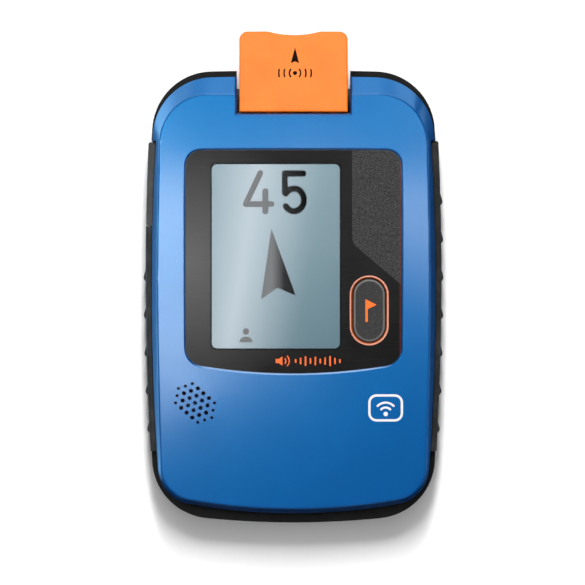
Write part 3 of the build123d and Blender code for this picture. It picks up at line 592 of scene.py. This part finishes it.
def dress_all():
    """Materials for the whole frame."""
    dress(blue_paint(), "front_cover")
    dress(grained_plastic("black_shell", (0.003, 0.003, 0.003), (0.006, 0.006, 0.006), 0.25 * MM, 0.02 * MM,
                          gloss=0.08),
          "rear_cover")
    dress(soft_rubber("grip_rubber", (0.010, 0.010, 0.010), (0.035, 0.034, 0.033)), "grip_left", "grip_right")
    dress(soft_rubber("door_rubber", (0.035, 0.034, 0.033), (0.07, 0.068, 0.065)), "port_door")
    dress(orange_plastic(), "search_flap", "power_slider")
    dress(ring_plastic(), "button_ring")
    dress(bezel_panel(), "display_bezel")
    dress(clear_lens(), "display_lens")
    dress(lcd_glass(), "lcd_panel")
    dress(button_cap(), "flag_button")
    dress(woven_mesh(), "speaker_mesh")
    dress(metal("steel_turned", (0.62, 0.63, 0.65), 0.25, (0.2, 1, 1)), "housing_screws", "lanyard_bar",
          "flap_pin", "port_door_pin", "board_screws", "usb_socket", "speaker_contacts")
    dress(metal("nickel_plate", (0.70, 0.68, 0.64), 0.18), "flap_magnet", "slider_magnet")
    dress(metal("cell_foil", (0.72, 0.73, 0.75), 0.35, (1, 0.1, 1)), "battery_cell")
    dress(metal("speaker_can", (0.12, 0.12, 0.13), 0.4), "speaker")
    dress(wound_copper("winding_along_y", "Y"), "long_antenna_coil")
    dress(wound_copper("winding_along_x", "X"), "cross_antenna_coil")
    dress(wound_copper("winding_upright", "Z"), "z_antenna_coil")
    dress(grained_plastic("ferrite", (0.03, 0.028, 0.026), (0.05, 0.047, 0.044), 0.3 * MM, 0.02 * MM, 0.6),
          "long_antenna_core", "cross_antenna_core", "z_antenna_core")
    dress(circuit_board(), "main_board")
    dress(grained_plastic("chip_black", (0.012, 0.012, 0.012), (0.02, 0.02, 0.02),
                          0.15 * MM, 0.01 * MM, 0.45),
          "board_chips", "hall_sensors", "tact_switch", "flap_washers")
    dress(grained_plastic("moulded_white", (0.60, 0.60, 0.58), (0.72, 0.72, 0.70), 0.3 * MM, 0.01 * MM, 0.45),
          "display_frame", "lcd_connector", "button_carrier", "switch_plunger", "battery_connector",
          "antenna_saddles", "lcd_backlight")
    dress(soft_rubber("grey_silicone", (0.20, 0.20, 0.20), (0.28, 0.28, 0.28)), "housing_gasket",
          "port_seal", "button_membrane")
    dress(soft_rubber("black_foam", (0.02, 0.02, 0.02), (0.05, 0.05, 0.05)), "battery_pad")
    dress(grained_plastic("amber_ribbon", (0.45, 0.17, 0.02), (0.60, 0.26, 0.04), 0.5 * MM, 0.004 * MM, 0.25),
          "lcd_flex")
    dress(grained_plastic("red_wire", (0.40, 0.015, 0.01), (0.5, 0.03, 0.02), 0.3 * MM, 0.004 * MM, 0.35),
          "battery_leads")


# ---- floor, light and camera ---------------------------------------------------------------------

def floor():
    """A plain white floor under the object."""
    mesh = bpy.data.meshes.new("floor")
    half = 3.0
    corners = [(-half, -half, 0), (half, -half, 0), (half, half, 0), (-half, half, 0)]
    mesh.from_pydata(corners, [], [(0, 1, 2, 3)])
    s = Shader("floor_white")
    tone = s.blend(s.noise(0.4, 2.0), (0.93, 0.93, 0.93), (0.95, 0.95, 0.95))
    mesh.materials.append(s.finish(Base_Color=tone, Roughness=1.0, Specular_IOR_Level=0.0))
    plane = bpy.data.objects.new("floor", mesh)
    bpy.context.scene.collection.objects.link(plane)
    plane.visible_glossy = False


def softbox(name, place, size, radiance, turn=0.0, toward=(0, 0, 0), gloss=True, diffuse=True,
            colour=(1, 1, 1)):
    """A lit panel that faces a point. It can be left out of the gloss or out of the plain lighting."""
    data = bpy.data.lights.new(name, "AREA")
    data.shape = "RECTANGLE"
    data.size, data.size_y = size
    data.energy = radiance * math.pi * size[0] * size[1]
    data.color = colour
    light = bpy.data.objects.new(name, data)
    aim = (Vector(toward) - Vector(place)).to_track_quat("-Z", "Y").to_matrix()
    light.matrix_world = Matrix.Translation(place) @ (aim @ Matrix.Rotation(turn, 3, "Z")).to_4x4()
    light.visible_camera = False
    light.visible_glossy = gloss
    light.visible_diffuse = diffuse
    bpy.context.scene.collection.objects.link(light)


PANEL_HEIGHT = 0.9
GLOSS_PANELS = [           # place across and along, size across and along, turn, radiance
    (-0.17, 0.09, 0.10, 0.14, 0.0, 6.4),
    (-0.15, -0.06, 0.14, 0.14, 0.2, 4.7),
    (-0.11, 0.03, 0.22, 0.24, 0.3, 3.9),
    (0.05, 0.09, 0.12, 0.10, 0.2, 5.3),
    (0.18, 0.07, 0.14, 0.12, 0.2, 5.2),
    (0.36, 0.10, 0.15, 0.30, 0.0, 2.5),
    (0.22, 0.30, 0.20, 0.15, 0.0, 12.3),
    (-0.42, 0.28, 0.20, 0.20, 0.0, 62.0),
]
FLOOR_GLOWS = [            # low ones that face up: place across and along, size across and along, radiance
    (-0.16, 0.02, 0.20, 0.16, 3.6),
    (0.15, 0.00, 0.16, 0.16, 1.6),
    (0.0, 0.20, 0.36, 0.20, 2.6),
]
GLOW_COLOUR = (0.35, 0.72, 1.0)
LIP_LIGHT = 6.0            # radiance of the low panel that shows in the bevels facing the flap's side
WALL_GLOW = 0.45           # radiance of the dim walls that show in the sides and in low views
WALL_DISTANCE = 1.2


def studio():
    """An even overhead light, a key from beyond the flap's end, and panels that only show as gloss."""
    world = bpy.data.worlds.new("surround")
    world.use_nodes = True
    background = world.node_tree.nodes["Background"]
    background.inputs["Color"].default_value = (0.95, 0.98, 1.0, 1)
    background.inputs["Strength"].default_value = 0.9
    world.cycles_visibility.diffuse = False
    world.cycles_visibility.glossy = False
    bpy.context.scene.world = world
    softbox("overhead", (0, 0, 2.0), (1.2, 3.0), 2.55, gloss=False)
    softbox("key", (0, 0.50, 0.99), (0.12, 0.42), 74, gloss=False)
    for i, (x, y, wide, long, turn, radiance) in enumerate(GLOSS_PANELS):
        softbox(f"gloss_panel_{i}", (x, y, PANEL_HEIGHT), (wide, long), radiance, turn, diffuse=False)
    for i, heading in enumerate(range(0, 360, 90)):
        x, y = arc((0, 0), WALL_DISTANCE, heading, heading + 90, 1)[0]
        softbox(f"wall_{i}", (x, y, 0.55), (1.7, 0.8), WALL_GLOW, diffuse=False)
    softbox("lip_light", (0.0, 1.3, 0.30), (1.0, 0.4), LIP_LIGHT, diffuse=False)
    for i, (x, y, wide, long, radiance) in enumerate(FLOOR_GLOWS):
        softbox(f"floor_glow_{i}", (x, y, 1 * MM), (wide, long), radiance, toward=(x, y, 1.0),
                diffuse=False, colour=GLOW_COLOUR)
    bpy.context.scene.view_settings.view_transform = "Standard"


def camera():
    """A very long lens straight above the display, with the flap at the top of the picture."""
    data = bpy.data.cameras.new("camera")
    data.lens = 900
    data.clip_end = 50
    view_width = 155.3 * MM
    view_middle = (-0.27 * MM, 1.06 * MM)
    outline_height = 16 * MM
    distance = view_width * data.lens / data.sensor_width
    seen = bpy.data.objects.new("camera", data)
    seen.location = (*view_middle, outline_height + distance)
    bpy.context.scene.collection.objects.link(seen)
    bpy.context.scene.camera = seen


dress_all()
display_picture()
display_figures()
flap_signs()
voice_sign()
cover_sign()
button_sign()
floor()
studio()
camera()
